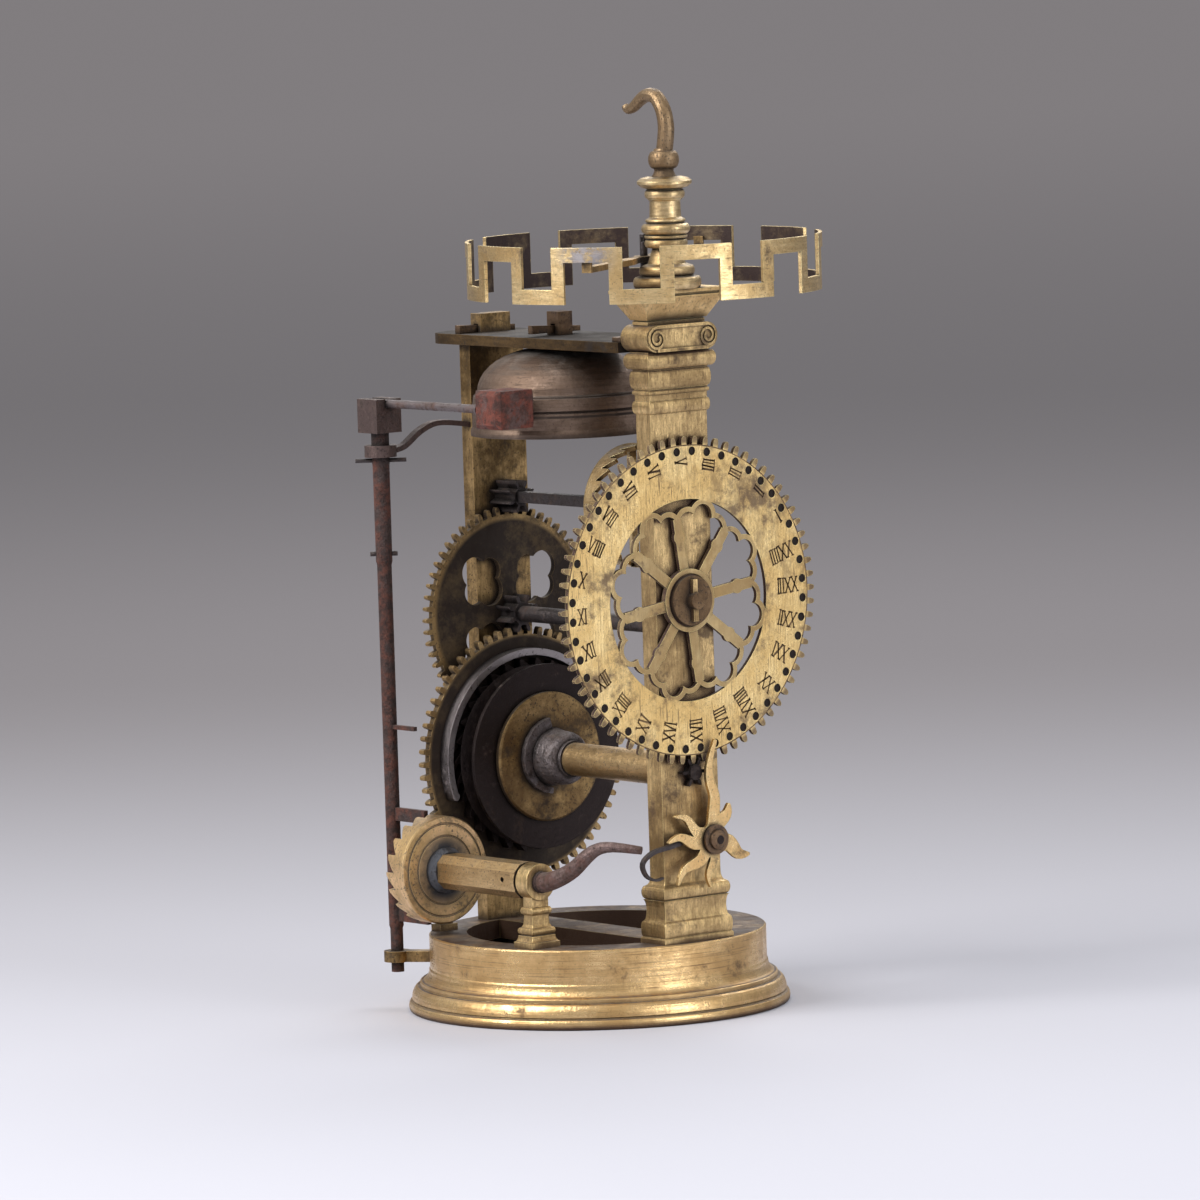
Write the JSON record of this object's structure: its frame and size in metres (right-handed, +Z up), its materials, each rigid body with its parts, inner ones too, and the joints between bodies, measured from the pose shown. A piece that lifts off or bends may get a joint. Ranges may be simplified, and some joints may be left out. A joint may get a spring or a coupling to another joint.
{
  "type": "monastic alarm clock",
  "caption": "Brass tower clock on a round moulded foot, with a geared 24-hour dial, a crown-shaped balance, a verge escapement, a bell and a hammer alarm.",
  "frame": {"origin": "middle of the foot's lower face, on the level that the clock stands on", "axes": "+Z up; -Y is the way the dial faces; -X is the side with the alarm barrel and the hammer"},
  "size_m": [0.0808, 0.1, 0.1942],
  "materials": {
    "bright_brass": "aged, rubbed bright on edges",
    "dark_brass": "dark patina",
    "bell_bronze": "brown bell bronze",
    "dark_iron": "dark forged iron",
    "rusty_iron": "rust-pitted iron",
    "pale_iron": "filed grey iron"
  },
  "bodies": {
    "frame": {"base_ring": "bright_brass", "column_nuts": "dark_iron", "front_column": "bright_brass", "front_capital": "bright_brass", "impost": "bright_brass", "back_column": "dark_brass", "top_plate": "dark_brass", "column_wedges": "dark_iron", "finial": "bright_brass", "hook": "dark_brass", "bell": "bell_bronze", "bell_stud": "dark_iron", "bell_wedge": "dark_iron", "potence": "dark_iron", "verge_foot": "dark_iron", "dial_stud": "dark_iron", "dial_washer": "dark_brass", "dial_key": "bright_brass", "alarm_front_cock": "bright_brass", "alarm_rear_cock": "bright_brass", "rod_lower_cock": "bright_brass", "rod_upper_cock": "dark_brass", "let_off_stud": "dark_iron", "let_off_knob": "dark_iron"},
    "great": {"great_arbor": "dark_iron", "great_wheel": "dark_brass", "click_spring": "pale_iron", "dial_pinion": "dark_iron", "barrel_tube": "bright_brass", "great_hub": "dark_iron", "hub_key": "dark_iron"},
    "pulley": {"hub_washer": "dark_brass", "pulley_cheek": "dark_iron", "pulley_drum": "dark_iron", "ratchet_wheel": "dark_iron"},
    "second": {"second_arbor": "dark_iron", "second_wheel": "dark_brass"},
    "escape": {"escape_arbor": "dark_iron", "escape_wheel": "dark_brass"},
    "verge": {"verge_staff": "dark_iron", "balance_crown": "bright_brass", "balance_bar": "bright_brass"},
    "dial_body": {"dial": "bright_brass"},
    "alarm": {"alarm_arbor": "dark_iron", "alarm_barrel": "bright_brass", "alarm_wheel": "bright_brass"},
    "hammer": {"hammer_rod": "rusty_iron", "rod_pins": "dark_iron", "hammer_block": "dark_iron", "hammer_arm": "dark_iron", "hammer_head": "rusty_iron"},
    "let_off": {"let_off_star": "bright_brass", "let_off_hook": "dark_iron"}
  },
  "joints": [
    {"name": "great_turn", "type": "hinge", "parent": "frame", "child": "great", "pos_m": [0, 0, 0.0517], "axis": [0, 1, 0], "continuous": true},
    {"name": "pulley_wind", "type": "hinge", "parent": "great", "child": "pulley", "pos_m": [0, 0, 0.0517], "axis": [0, 1, 0], "continuous": true},
    {"name": "second_turn", "type": "hinge", "parent": "frame", "child": "second", "pos_m": [0, 0, 0.0818], "axis": [0, 1, 0], "continuous": true},
    {"name": "escape_turn", "type": "hinge", "parent": "frame", "child": "escape", "pos_m": [0, 0, 0.1068], "axis": [0, 1, 0], "continuous": true},
    {"name": "dial_turn", "type": "hinge", "parent": "frame", "child": "dial_body", "pos_m": [0, 0, 0.0877], "axis": [0, 1, 0], "continuous": true},
    {"name": "verge_swing", "type": "hinge", "parent": "frame", "child": "verge", "pos_m": [0, -0.0224, 0.158], "axis": [0, 0, 1], "range_deg": [-71.7, 8.3]},
    {"name": "alarm_turn", "type": "hinge", "parent": "frame", "child": "alarm", "pos_m": [-0.0273, 0, 0.03], "axis": [0, 1, 0], "continuous": true},
    {"name": "hammer_swing", "type": "hinge", "parent": "frame", "child": "hammer", "pos_m": [-0.0273, 0.0342, 0.1], "axis": [0, 0, 1], "range_deg": [-20, 0.5]},
    {"name": "let_off_tilt", "type": "hinge", "parent": "frame", "child": "let_off", "pos_m": [0.0034, 0, 0.0374], "axis": [0, 1, 0], "range_deg": [-4, 4]}
  ],
  "couplings": [
    {"joint": "second_turn", "follows": "great_turn", "ratio": -7.5},
    {"joint": "escape_turn", "follows": "great_turn", "ratio": 52.5},
    {"joint": "dial_turn", "follows": "great_turn", "ratio": -0.083333}
  ]
}
